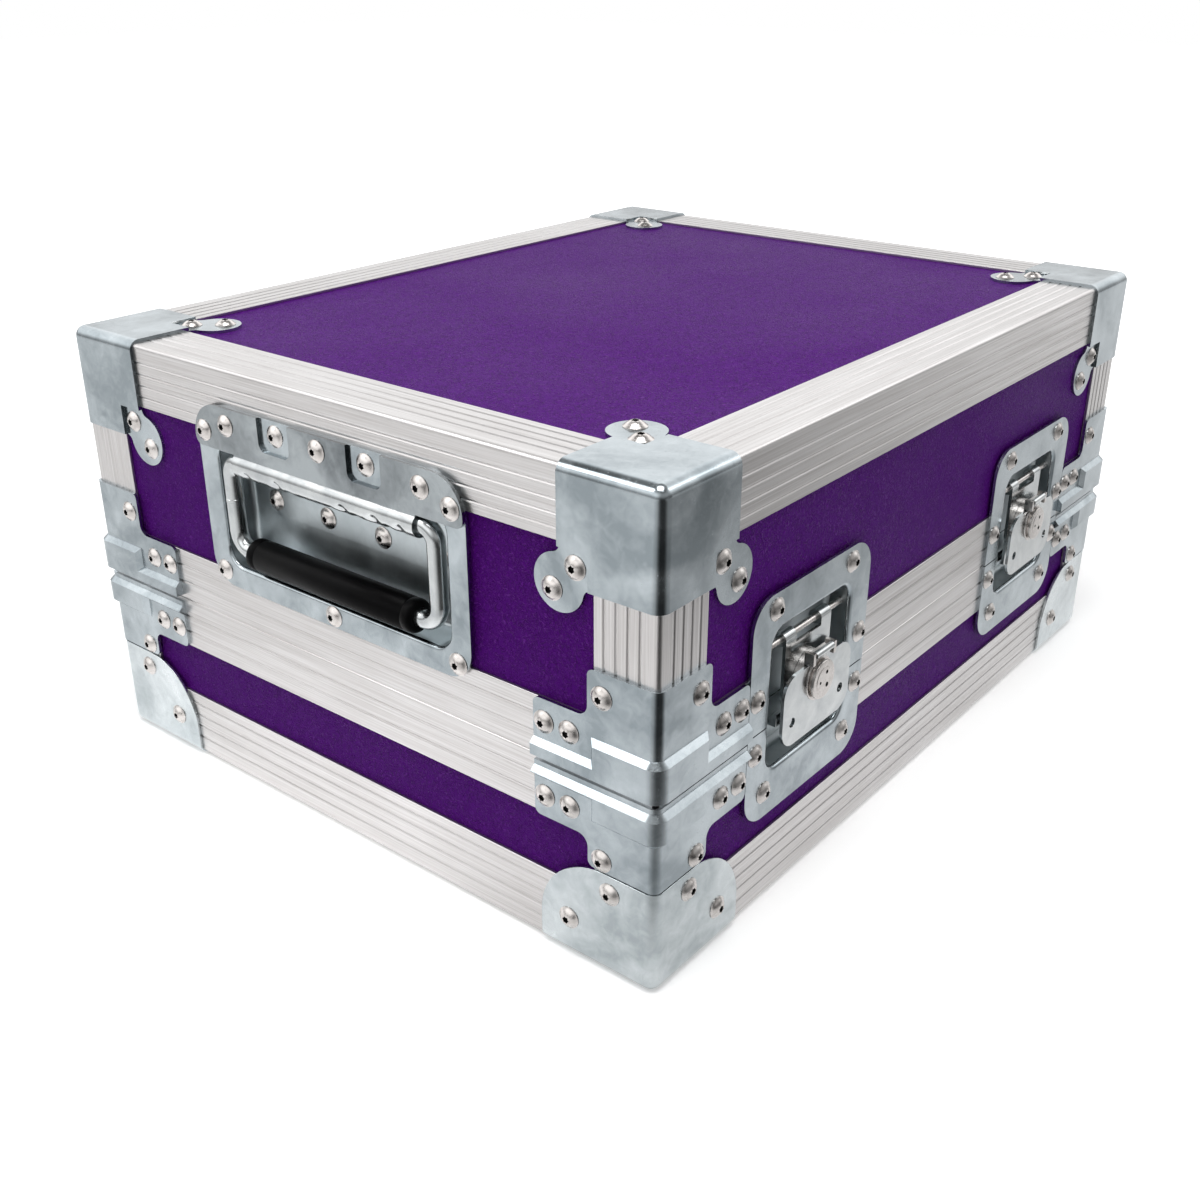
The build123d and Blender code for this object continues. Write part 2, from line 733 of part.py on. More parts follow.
for side, face in handle_faces.items():
    section = section_plane(face)
    half = handle_width / 2
    tall = handle_height / 2
    half_pan = handle_open_width / 2

    with BuildPart() as dish:
        with BuildSketch(face):
            rounded_block(-half, half, -tall, tall, handle_corner, handle_top_corner)
        extrude(amount=sheet)
        for wall_out, plane, mode in ((sheet, face, Mode.ADD), (0, face.offset(sheet), Mode.SUBTRACT)):
            radius = handle_open_corner + wall_out
            with BuildSketch(plane):
                rounded_block(-half_pan - wall_out, half_pan + wall_out, -handle_open_low - wall_out,
                              handle_open_high + wall_out, radius, radius)
            extrude(amount=-handle_depth - sheet, mode=mode)
    save(dish.part, f"handle_dish_{side}")

    with BuildPart() as hinge:
        with BuildSketch(face.offset(sheet)):
            rounded_block(-half, half, hinge_low, tall, lobe_blend, handle_top_corner - lobe_blend)
            block(-tube_half_length, tube_half_length, bail_rise, hinge_low + sheet)
            for end in (-1, 1):
                with BuildSketch(mode=Mode.PRIVATE) as notch:
                    with Locations((end * notch_x, 0)):
                        block(-notch_width / 2, notch_width / 2, notch_floor, tall + sheet)
                    fillet(notch.vertices().group_by(Axis.Y)[0], lobe_blend)
                add(notch.sketch, mode=Mode.SUBTRACT)
        extrude(amount=sheet)
        with BuildSketch(section):
            disc(-bail_depth, bail_rise, tube_radius)
            block(-handle_depth, -bail_depth, bail_rise + tube_bore, bail_rise + tube_radius)
            block(-handle_depth, sheet - handle_depth, leaf_low, bail_rise + tube_radius)
        extrude(amount=tube_half_length, both=True)
        with BuildSketch(section):
            disc(-bail_depth, bail_rise, tube_bore)
        extrude(amount=tube_half_length, both=True, mode=Mode.SUBTRACT)
        with BuildSketch(face.offset(tube_radius)):
            for end in (-1, 1):
                middle = end * notch_x
                block(middle - window_width / 2, middle + window_width / 2, bail_rise - 2 * tube_radius,
                      bail_rise - bail_radius / 2)
        extrude(amount=-2 * tube_radius - bail_depth, mode=Mode.SUBTRACT)
    save(hinge.part, f"handle_hinge_{side}")

    with BuildPart() as bail:
        with BuildSketch(section_plane(face, bail_half_span + bail_radius)):
            disc(-bail_depth, bail_rise, bail_radius)
        extrude(amount=bail_half_span + bail_radius - bail_stub)
        mirror(about=section_plane(face))
        with BuildLine(face.offset(-bail_depth)) as path:
            Polyline(*bail_points())
        with BuildSketch(Plane(path.wire() @ 0, z_dir=path.wire() % 0)):
            RegularPolygon(bail_radius, bail_sides)
        sweep(transition=Transition.RIGHT)
    save(bail.part, f"handle_bail_{side}")

    with BuildPart() as grip:
        with BuildSketch(section):
            disc(-bail_depth, bail_low, grip_radius)
            disc(-bail_depth, bail_low, bail_radius, Mode.SUBTRACT)
        extrude(amount=grip_half_length, both=True)
    save(grip.part, f"handle_grip_{side}")

# Rear hinges: two leaves with alternate knuckles on one pin

hinge_places = (left_x + hinge_inset, right_x - hinge_inset)
hinge_pieces = {"hinge_lid_leaves": [], "hinge_base_leaves": [], "hinge_pins": []}
for x in hinge_places:
    face = face_plane(to_front, x, split_z)
    pitch = hinge_width / knuckle_count
    for name, sign, first in (("hinge_lid_leaves", 1, 0), ("hinge_base_leaves", -1, 1)):
        with BuildPart() as leaf:
            with BuildSketch(face):
                block(-hinge_width / 2, hinge_width / 2, *sorted((sign * (knuckle_radius + knuckle_gap), sign * hinge_leaf)))
            extrude(amount=sheet)
            for i in range(first, knuckle_count, 2):
                start = i * pitch - hinge_width / 2 + knuckle_gap / 2
                end = start + pitch - knuckle_gap
                with BuildSketch(face):
                    block(start, end, *sorted((0, sign * (knuckle_radius + knuckle_gap))))
                extrude(amount=sheet)
                with BuildSketch(section_plane(face, end)):
                    disc(hinge_axis_out, 0, knuckle_radius)
                extrude(amount=end - start)
            with BuildSketch(section_plane(face)):
                disc(hinge_axis_out, 0, hinge_pin + pin_clearance)
            extrude(amount=hinge_width, both=True, mode=Mode.SUBTRACT)
        hinge_pieces[name].append(leaf.part)
    with BuildPart() as pin:
        with BuildSketch(section_plane(face)):
            disc(hinge_axis_out, 0, hinge_pin)
        extrude(amount=hinge_width / 2, both=True)
    hinge_pieces["hinge_pins"].append(pin.part)
for name, pieces in hinge_pieces.items():
    save(set_of(pieces), name)

# Rivet heads

with BuildPart() as rivet:
    with BuildSketch(Plane.XY):
        RegularPolygon(rivet_radius, rivet_sides)
    extrude(amount=rivet_height, taper=rivet_slope)


def heads(plane, places, out):
    """Rivet heads at some places on a plane, seated at a height above it."""
    seated = plane.offset(out)
    return [rivet.part.moved(seated.location * Location((x, y, 0))) for x, y in places]


lid_corner_heads = []
for plane in point_planes(top_z, True):
    places = [(edge_leg + d, edge_leg + d) for d in rivet_diagonals]
    lid_corner_heads += heads(plane, places, sheet - wall)
base_corner_heads = []
for plane, sign in brace_planes():
    arm_places = [(x, brace_arm_rivet_rise) for x in brace_arm_rivets]
    upper = arm_places + [brace_neck_rivet]
    lower = arm_places + [(brace_neck_rivet[0], lower_brace_height - rivet_radius)]
    lid_corner_heads += heads(plane, [(x, sign * y) for x, y in upper], sheet)
    base_corner_heads += heads(plane, [(x, -sign * y) for x, y in lower], sheet)
foot_front, foot_left, _ = point_planes(rest_z, False)
base_corner_heads += heads(foot_front, foot_rivets, sheet)
base_corner_heads += heads(foot_left, [(y, x) for x, y in foot_rivets], sheet)


def copied_heads(near_left):
    copies = []
    for head in near_left:
        copies += corner_copies(head).values()
    return copies


lid_heads = copied_heads(lid_corner_heads)
base_heads = copied_heads(base_corner_heads)


def both_ends(places):
    """Places to the right of a middle line and their partners to the left."""
    return [(end * x, y) for x, y in places for end in ((1, -1) if x else (1,))]


for x in latch_places.values():
    face = face_plane(to_back, x, split_z)
    lid_heads += heads(face, both_ends(latch_upper_rivets), sheet)
    base_heads += heads(face, both_ends(latch_lower_rivets), sheet)
for face in handle_faces.values():
    for place in handle_top_rivets:
        out = sheet if place[0] == notch_x else 2 * sheet
        lid_heads += heads(face, both_ends([place]), out)
    lid_heads += heads(face, both_ends(handle_low_rivets), sheet)
    lid_heads += heads(face, both_ends([(x, leaf_rivet_rise) for x in leaf_rivets]), sheet - handle_depth)
for x in hinge_places:
    face = face_plane(to_front, x, split_z)
    lid_heads += heads(face, both_ends([(0, hinge_rivet_rise), (hinge_rivet_pitch, hinge_rivet_rise)]), sheet)
    base_heads += heads(face, both_ends([(0, -hinge_rivet_rise), (hinge_rivet_pitch, -hinge_rivet_rise)]), sheet)
save(set_of(lid_heads), "lid_rivets")
save(set_of(base_heads), "base_rivets")
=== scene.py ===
# %% [markdown]
# # A flight case for a pedalboard
# The case is a plywood box in purple laminate, held by aluminium extrusions, zinc-plated corners and
# domed rivets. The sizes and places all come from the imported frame, so this file only gives each
# piece its finish, its softened edges and the small forms that a maker would look for.

# %% Load the frame
import json
import math

import bmesh
import bpy
from mathutils import Matrix, Vector, noise

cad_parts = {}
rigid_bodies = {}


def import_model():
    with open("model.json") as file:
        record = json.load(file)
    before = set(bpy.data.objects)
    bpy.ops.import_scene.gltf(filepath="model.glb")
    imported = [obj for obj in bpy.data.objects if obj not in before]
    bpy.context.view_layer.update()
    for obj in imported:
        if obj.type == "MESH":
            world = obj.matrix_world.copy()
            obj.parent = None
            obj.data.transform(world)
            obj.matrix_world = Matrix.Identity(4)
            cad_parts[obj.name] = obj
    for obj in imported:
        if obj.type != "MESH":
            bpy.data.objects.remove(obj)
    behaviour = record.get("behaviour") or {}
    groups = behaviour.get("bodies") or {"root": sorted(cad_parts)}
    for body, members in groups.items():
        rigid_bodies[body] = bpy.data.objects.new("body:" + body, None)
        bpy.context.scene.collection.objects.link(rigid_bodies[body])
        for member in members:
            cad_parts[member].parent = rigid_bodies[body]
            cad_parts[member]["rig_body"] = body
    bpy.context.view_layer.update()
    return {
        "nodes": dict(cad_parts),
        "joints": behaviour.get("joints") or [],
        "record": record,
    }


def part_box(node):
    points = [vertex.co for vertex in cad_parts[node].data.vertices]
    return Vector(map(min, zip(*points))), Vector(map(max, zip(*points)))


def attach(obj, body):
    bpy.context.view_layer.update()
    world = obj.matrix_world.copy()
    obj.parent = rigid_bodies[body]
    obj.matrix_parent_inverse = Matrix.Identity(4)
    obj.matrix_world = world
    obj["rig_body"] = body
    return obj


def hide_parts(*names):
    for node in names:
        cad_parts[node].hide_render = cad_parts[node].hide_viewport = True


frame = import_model()
nodes = frame["nodes"]
slot_of = {row["node"]: row["material_slot"] for row in frame["record"]["subparts"]}
pivots = {row["name"]: Vector(row["pos_m"]) for row in frame["joints"] if row.get("pos_m")}
sides = {"left": -1, "right": 1}

# %% [markdown]
# A shader is a small network of nodes. These helpers keep the networks short: one adds a node with its
# values set, and the others name the sums, ramps, colours and noises that come up again and again.


# %% Helpers for shader networks
def add_node(tree, kind, inputs=None, **settings):
    """A node in a tree, with its settings and its inputs' values or links."""
    node = tree.nodes.new(kind)
    for key, value in settings.items():
        setattr(node, key, value)
    for key, value in (inputs or {}).items():
        if isinstance(value, bpy.types.NodeSocket):
            tree.links.new(value, node.inputs[key])
        else:
            node.inputs[key].default_value = value
    return node


def math_node(tree, operation, first, second=0.0):
    return add_node(tree, "ShaderNodeMath", {0: first, 1: second}, operation=operation).outputs[0]


def plus(tree, first, second):
    return math_node(tree, "ADD", first, second)


def minus(tree, first, second):
    return math_node(tree, "SUBTRACT", first, second)


def times(tree, first, second):
    return math_node(tree, "MULTIPLY", first, second)


def shared(tree, first, second, share):
    """A share of the first value, and the rest from the second."""
    return plus(tree, times(tree, first, share), times(tree, second, 1.0 - share))


def remap(tree, value, low, high, to_low=0.0, to_high=1.0):
    """The value moved from one range to another and held inside it."""
    ends = {"Value": value, "From Min": low, "From Max": high, "To Min": to_low, "To Max": to_high}
    return add_node(tree, "ShaderNodeMapRange", ends).outputs["Result"]


def mix_colour(tree, factor, dark, light):
    """A colour between two. The mix node has sockets of every kind, and colours are 6, 7 and 2."""
    ends = {0: factor, 6: (*dark, 1.0), 7: (*light, 1.0)}
    return add_node(tree, "ShaderNodeMix", ends, data_type="RGBA").outputs[2]


def object_place(tree, stretch=(1.0, 1.0, 1.0)):
    """Object coordinates, squeezed along each axis."""
    ends = {"Vector": add_node(tree, "ShaderNodeTexCoord").outputs["Object"], "Scale": stretch}
    return add_node(tree, "ShaderNodeMapping", ends).outputs["Vector"]


def noise_of(tree, place, scale, detail=3.0, roughness=0.5, distortion=0.0):
    ends = {"Vector": place, "Scale": scale, "Detail": detail, "Roughness": roughness}
    ends["Distortion"] = distortion
    return add_node(tree, "ShaderNodeTexNoise", ends).outputs["Fac"]


# %% [markdown]
# Every finish here is one Principled shader, fed with a colour, a roughness and a relief. Two helpers
# start it and wire it. Two more start a group with named sockets and place it in a material, so that
# several finishes can share an effect.


# %% Helpers for finishes
def new_material(name, metallic, roughness):
    material = bpy.data.materials.new(name)
    material.use_nodes = True
    shader = material.node_tree.nodes["Principled BSDF"]
    shader.inputs["Metallic"].default_value = metallic
    shader.inputs["Roughness"].default_value = roughness
    return material, material.node_tree, shader


def wire(tree, shader, colour, roughness, height, strength, depth):
    """Links a finish's colour, its roughness and its relief, whose depth is in metres."""
    bump = {"Height": height, "Strength": strength, "Distance": depth}
    relief = add_node(tree, "ShaderNodeBump", bump).outputs["Normal"]
    for source, target in ((colour, "Base Color"), (roughness, "Roughness"), (relief, "Normal")):
        tree.links.new(source, shader.inputs[target])


def new_group(name, inputs, outputs):
    """A shader group with float inputs and outputs, and its two end nodes."""
    tree = bpy.data.node_groups.new(name, "ShaderNodeTree")
    for label, value in inputs.items():
        socket = tree.interface.new_socket(label, in_out="INPUT", socket_type="NodeSocketFloat")
        socket.default_value = value
    for label in outputs:
        tree.interface.new_socket(label, in_out="OUTPUT", socket_type="NodeSocketFloat")
    return tree, tree.nodes.new("NodeGroupInput"), tree.nodes.new("NodeGroupOutput")


def place_group(tree, group, **values):
    """A shared group in a material, with its own values."""
    node = add_node(tree, "ShaderNodeGroup", node_tree=group)
    for key, value in values.items():
        node.inputs[key.replace("_", " ")].default_value = value
    return node


# %% [markdown]
# The laminate on road cases is pressed with a fine grain of short crooked ridges, about a millimetre
# and a half long, so that scuffs don't show. The middle values of a noise make thin winding lines, and
# a second noise breaks them into short ones. They raise the bump, and their tops are painted a paler
# purple, a painted glint where the ridges catch the light.

# %% Laminate grain
worm_scale = 620.0
worm_width = 0.085
patch_scale = 260.0
pore_scale = 1900.0
pore_share = 0.35
grain, ends_in, ends_out = new_group("worm grain", {"Worms": worm_scale}, ["Height", "Ridge"])
place = object_place(grain)
worms = noise_of(grain, place, ends_in.outputs["Worms"], 1.0, 0.5, 0.6)
off_middle = math_node(grain, "ABSOLUTE", minus(grain, worms, 0.5))
ridge = remap(grain, off_middle, 0.0, worm_width, 1.0, 0.0)
patchy = noise_of(grain, place, patch_scale, 2.0)
strong = times(grain, ridge, remap(grain, patchy, 0.35, 0.65, 0.25, 1.0))
fine = noise_of(grain, place, pore_scale, 2.0)
height = plus(grain, times(grain, fine, pore_share), strong)
grain.links.new(height, ends_out.inputs["Height"])
grain.links.new(strong, ends_out.inputs["Ridge"])
print(grain.name, "has", len(grain.nodes), "nodes")

# %% [markdown]
# The laminate itself is a deep purple with hardly any mirror in it. Its gloss drifts slowly over each
# panel, where hands and cloths have been, and the tops of the ridges are polished a little more. The
# paler purple on the ridges is a painted glint, which stands in for the light that they catch.

# %% Laminate
deep_purple = (0.066, 0.0026, 0.152)
# a paler purple painted on the ridge tops as glints
glint_purple = (0.135, 0.020, 0.265)
ridge_gloss = 0.12
ridge_depth = 0.0007
laminate, tree, shader = new_material("purple laminate", 0.0, 0.40)
shader.inputs["Specular IOR Level"].default_value = 0.025
worms = place_group(tree, grain)
ridge = worms.outputs["Ridge"]
handled = noise_of(tree, object_place(tree), 9.0, 3.0)
roughness = minus(tree, remap(tree, handled, 0.35, 0.65, 0.36, 0.48), times(tree, ridge, ridge_gloss))
# the ridge tops take the paler purple, a painted glint
colour = mix_colour(tree, ridge, deep_purple, glint_purple)
wire(tree, shader, colour, roughness, worms.outputs["Height"], 1.0, ridge_depth)
print(laminate.name, "ridges", ridge_depth * 1000, "mm")

# %% [markdown]
# Zinc plate is never even. It dries in soft blue-grey clouds with paler islands, and every sheet picks
# up short fine scratches in the press. One group makes the clouds and the scratches, and each zinc or
# nickel finish below mixes its own two colours with them.

# %% Zinc clouds
island_scale = 160.0
streak_stretch = (260.0, 900.0, 420.0)
values = {"Cloud size": 34.0, "Scratches": 0.5}
clouds, ends_in, ends_out = new_group("plating clouds", values, ["Cloud", "Mark"])
place = object_place(clouds)
broad = noise_of(clouds, place, ends_in.outputs["Cloud size"], 3.0, 0.5, 0.9)
small = noise_of(clouds, place, island_scale, 3.0, 0.6, 0.8)
cloud = remap(clouds, shared(clouds, broad, small, 0.75), 0.36, 0.64)
streaks = noise_of(clouds, object_place(clouds, streak_stretch), 1.6, 2.0, 0.7, 2.0)
marks = times(clouds, remap(clouds, streaks, 0.66, 0.78), ends_in.outputs["Scratches"])
clouds.links.new(cloud, ends_out.inputs["Cloud"])
clouds.links.new(marks, ends_out.inputs["Mark"])
print(clouds.name, "has", len(clouds.nodes), "nodes")

# %% [markdown]
# The plated parts don't all match, as they come from different baths. The hinge plates are the
# darkest, and the dishes are duller inside, where the press has stretched them. The feet are the
# palest, but that is painted light: their paler zinc stands in for the light that the bright floor
# throws up on them. The hubs, barrels, rods and rivets are nickel, which is warmer and has almost no
# clouds.

# %% Plated finishes
mark_dulls = 0.15
cloud_relief = 0.25
cloud_depth = 0.0001


def plated_finish(name, dark, light, rough_low, rough_high, size, scratches):
    """Plated steel whose colour and gloss drift in clouds."""
    material, tree, shader = new_material(name, 1.0, rough_low)
    plating = place_group(tree, clouds, Cloud_size=size, Scratches=scratches)
    cloud, mark = plating.outputs["Cloud"], plating.outputs["Mark"]
    dull = remap(tree, cloud, 0.0, 1.0, rough_low, rough_high)
    roughness = plus(tree, dull, times(tree, mark, mark_dulls))
    colour = mix_colour(tree, cloud, dark, light)
    wire(tree, shader, colour, roughness, plus(tree, cloud, mark), cloud_relief, cloud_depth)
    return material


zinc = plated_finish(
    "zinc sheet", (0.24, 0.275, 0.295), (0.46, 0.505, 0.53), 0.13, 0.27, size=26.0, scratches=1.0)
zinc_small = plated_finish(
    "zinc latch parts", (0.42, 0.44, 0.45), (0.60, 0.62, 0.62), 0.14, 0.24, size=60.0, scratches=0.5)
# the feet's paler zinc is painted light from the bright floor
zinc_painted_floor_light = plated_finish(
    "zinc foot, painted floor light", (0.36, 0.40, 0.415), (0.63, 0.67, 0.685), 0.15, 0.28, size=26.0, scratches=1.0)
zinc_dark = plated_finish(
    "zinc hinge plate", (0.14, 0.155, 0.165), (0.36, 0.39, 0.405), 0.15, 0.26, size=18.0, scratches=1.0)
zinc_pan = plated_finish(
    "zinc dish", (0.42, 0.465, 0.485), (0.58, 0.63, 0.65), 0.32, 0.44, size=26.0, scratches=0.8)
nickel = plated_finish(
    "nickel", (0.50, 0.47, 0.45), (0.66, 0.63, 0.61), 0.22, 0.32, size=200.0, scratches=0.2)
print("plated finishes", [m.name for m in (zinc, zinc_small, zinc_painted_floor_light, zinc_dark, zinc_pan, nickel)])

# %% [markdown]
# Extruded aluminium keeps faint lines along its length from the die. Noise squeezed a hundredfold
# across the run draws them. The group has the lines of all three directions, and two inputs choose
# which of them a piece shows.

# %% Die lines
squeeze = 110.0
line_scale = 14.0
lines, ends_in, ends_out = new_group("die lines", {"Along X": 0.0, "Along Y": 0.0}, ["Line"])
along_x, along_y = ends_in.outputs["Along X"], ends_in.outputs["Along Y"]
along_z = minus(lines, 1.0, plus(lines, along_x, along_y))
total = 0.0
for axis, chosen in enumerate((along_x, along_y, along_z)):
    stretch = [1.0 if axis == run else squeeze for run in range(3)]
    drawn = noise_of(lines, object_place(lines, stretch), line_scale, 4.0, 0.65)
    total = plus(lines, total, times(lines, drawn, chosen))
lines.links.new(remap(lines, total, 0.3, 0.7), ends_out.inputs["Line"])
print(lines.name, "has", len(lines.nodes), "nodes")

# %% [markdown]
# The extrusions are bare aluminium with a satin skin, a little warmer than the zinc. There is one
# finish for each direction that they run in. The rims run both ways in one piece, and there the
# surface's own direction picks the lines.

# %% Extrusion finishes
satin_dark = (0.43, 0.41, 0.40)
satin_light = (0.67, 0.66, 0.66)
line_share = 0.7
line_relief = 0.2
line_depth = 0.0001


def extrusion_finish(name, run=None):
    """Satin aluminium with die lines, whose run is a share along X and one along Y."""
    material, tree, shader = new_material(name, 1.0, 0.3)
    die = place_group(tree, lines)
    if run:
        die.inputs["Along X"].default_value, die.inputs["Along Y"].default_value = run
    else:
        normal = add_node(tree, "ShaderNodeNewGeometry").outputs["Normal"]
        sideways = add_node(tree, "ShaderNodeSeparateXYZ", {0: normal}).outputs["X"]
        facing_x = math_node(tree, "GREATER_THAN", math_node(tree, "ABSOLUTE", sideways), 0.5)
        tree.links.new(facing_x, die.inputs["Along Y"])
        tree.links.new(minus(tree, 1.0, facing_x), die.inputs["Along X"])
    line = die.outputs["Line"]
    drift = noise_of(tree, object_place(tree), 22.0, 3.0)
    colour = mix_colour(tree, shared(tree, line, drift, line_share), satin_dark, satin_light)
    roughness = remap(tree, line, 0.0, 1.0, 0.38, 0.28)
    wire(tree, shader, colour, roughness, line, line_relief, line_depth)
    return material


extrusion_x = extrusion_finish("extrusion along x", (1.0, 0.0))
extrusion_y = extrusion_finish("extrusion along y", (0.0, 1.0))
extrusion_z = extrusion_finish("extrusion upright", (0.0, 0.0))
extrusion_rim = extrusion_finish("extrusion rim")
print("extrusion finishes", [m.name for m in (extrusion_x, extrusion_y, extrusion_z, extrusion_rim)])

# %% [markdown]
# The grip is a moulded rubber tube, smooth and slightly shiny where hands have polished it. The foam
# that lines the case is dark and full of tiny cells, which a strong fine bump on a rough surface
# shows well enough. The sockets of the rivets and the holes of the barrels are so deep that their
# shade is painted in, as a near-black finish.

# %% Rubber and foam
cell_depth = 0.0003


def soft_finish(name, colour, rough_low, rough_high, scale, bump, specular):
    """A dull, dark finish with fine cells, and a little wear."""
    material, tree, shader = new_material(name, 0.0, rough_high)
    shader.inputs["Specular IOR Level"].default_value = specular
    fine = noise_of(tree, object_place(tree), scale, 4.0, 0.6)
    worn = noise_of(tree, object_place(tree), 30.0, 3.0)
    paler = tuple(c * 1.8 + 0.001 for c in colour)
    shade = mix_colour(tree, remap(tree, worn, 0.4, 0.7), colour, paler)
    roughness = remap(tree, worn, 0.3, 0.7, rough_low, rough_high)
    wire(tree, shader, shade, roughness, fine, bump, cell_depth)
    return material


rubber = soft_finish("grip rubber", (0.0022, 0.0022, 0.0024), 0.30, 0.44, 900.0, 0.12, 0.04)
foam_black = soft_finish("lining foam", (0.020, 0.020, 0.022), 0.85, 0.98, 1100.0, 0.9, 0.2)
# painted shade for the rivet sockets and the barrel holes
shadow_black = soft_finish("painted shade in recesses", (0.004, 0.004, 0.004), 0.5, 0.7, 600.0, 0.2, 0.05)
print("dull finishes", [m.name for m in (rubber, foam_black, shadow_black)])

# %% [markdown]
# The frame's nodes are loose triangles. A finished piece starts as a merged copy of its node, so that
# a rounded bend can shade smoothly, and a fine bevel then catches light along every cut edge. The
# bevel is a modifier, because it can be changed later without touching the shape. Faces of many
# corners are split before it, as a bevelled face with a winding outline can fill in its own notches.
# Normals weighted by area then keep each wide face flat, and leave the rounding to the narrow ones.

# %% Finished copies of nodes
same_place = 1e-6
same_plane = math.radians(0.6)
bend_angle = math.radians(32)
edge_width = 0.00025


def merged_copy(node):
    """A bmesh of a node with its triangles joined into whole faces."""
    bm = bmesh.new()
    bm.from_mesh(nodes[node].data)
    bmesh.ops.remove_doubles(bm, verts=bm.verts, dist=same_place)
    bmesh.ops.dissolve_limit(bm, angle_limit=same_plane, verts=bm.verts, edges=bm.edges)
    return bm


def stand_in(bm, node, ending, sharp_angle, *materials):
    """A smooth piece made from a bmesh, which rides where its node rides and stands for it."""
    mesh = bpy.data.meshes.new(f"{node}_{ending}")
    bm.to_mesh(mesh)
    bm.free()
    for material in materials:
        mesh.materials.append(material)
    for polygon in mesh.polygons:
        polygon.use_smooth = True
    mesh.set_sharp_from_angle(angle=sharp_angle)
    piece = bpy.data.objects.new(mesh.name, mesh)
    bpy.context.scene.collection.objects.link(piece)
    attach(piece, nodes[node]["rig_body"])
    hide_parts(node)
    return piece


def dressed(node, *materials, shape=None):
    """A node's finished copy. A shape may be one already worked on."""
    bm = shape or merged_copy(node)
    bmesh.ops.triangulate(bm, faces=[f for f in bm.faces if len(f.verts) > 4])
    piece = stand_in(bm, node, "finished", bend_angle, *materials)
    soft = piece.modifiers.new("soft edges", "BEVEL")
    soft.width = edge_width
    soft.segments = 2
    soft.limit_method = "ANGLE"
    soft.angle_limit = bend_angle
    soft.use_clamp_overlap = True
    even = piece.modifiers.new("flat faces stay flat", "WEIGHTED_NORMAL")
    even.mode = "FACE_AREA"
    even.weight = 100
    even.keep_sharp = True
    return piece


# %% [markdown]
# Rivet heads, grips and barrels are round, so a half profile turned about its axis makes them, as a
# lathe or a die would. Shapes are turned about Z first, and some of them are then laid along Y. The
# last helper adds one shape to another, as a welder would.

# %% Turned shapes
same_point = 1e-7


def spun(profile, segments):
    """A closed shape turned about Z from points of radius and height."""
    bm = bmesh.new()
    verts = [bm.verts.new((radius, 0, height)) for radius, height in profile]
    edges = [bm.edges.new(pair) for pair in zip(verts, verts[1:])]
    bmesh.ops.spin(
        bm, geom=verts + edges, cent=(0, 0, 0), axis=(0, 0, 1), angle=2 * math.pi, steps=segments,
        use_merge=True,
    )
    bmesh.ops.remove_doubles(bm, verts=bm.verts, dist=same_point)
    bmesh.ops.recalc_face_normals(bm, faces=bm.faces)
    return bm


def laid_along_y(place):
    """Turns a shape's Z axis to -Y and moves it to a place."""
    return Matrix.Translation(place) @ Matrix.Rotation(math.radians(90), 4, "X")


def join_on(bm, part):
    """Adds one bmesh to another and frees it."""
    carried = bpy.data.meshes.new("carried")
    part.to_mesh(carried)
    part.free()
    bm.from_mesh(carried)
    bpy.data.meshes.remove(carried)


# %% [markdown]
# The dishes of the latches and handles are deep drawn: the press bends the sheet over a round die, so
# the mouth of each pan is a wide soft roll, and so is the bottom. In a finished copy those edges are
# found by the plane that they lie in, and a bevel of several steps rolls them. The pan behind the
# flange gets the duller finish.

# %% Rolled edges
hair = 0.00003
sheet = 0.0015
mouth_roll, mouth_steps = 0.0020, 5
floor_roll, floor_steps = 0.0030, 4
pan_starts = 0.0035


def near(value, target):
    return abs(value - target) < hair


def edges_in_plane(bm, axis, level, low, high):
    """Edges that lie in a plane square to an axis, inside a box."""
    across = [i for i in range(3) if i != axis]
    found = []
    for edge in bm.edges:
        ends = [v.co for v in edge.verts]
        inside = all(low[i] < end[i] < high[i] for end in ends for i in across)
        if inside and all(near(end[axis], level) for end in ends):
            found.append(edge)
    return found


def rolled(bm, edges, width, steps):
    bmesh.ops.bevel(
        bm, geom=edges, offset=width, segments=steps, profile=0.5, affect="EDGES", material=-1,
        clamp_overlap=True,
    )


def drawn_dish(node, axis, outside, depth, low, high):
    """A dish whose mouth and floor are rolled; outside is the flange's front face."""
    bm = merged_copy(node)
    inward = 1 if outside < 0 else -1
    floor_edges = edges_in_plane(bm, axis, outside + inward * depth, low, high)
    rolled(bm, floor_edges, floor_roll, floor_steps)
    rolled(bm, edges_in_plane(bm, axis, outside, low, high), mouth_roll, mouth_steps)
    for face in bm.faces:
        if inward * (face.calc_center_median()[axis] - outside) > pan_starts:
            face.material_index = 1
    dressed(node, zinc, zinc_pan, shape=bm)


# %% [markdown]
# A handle's dish opens to the case's end, and a latch has two dishes that open to its front, one on
# the lid and one on the base. Each mouth is given by how far it reaches from the middle of its dish,
# or from the split, and a little slack takes in the edges that lie on it.

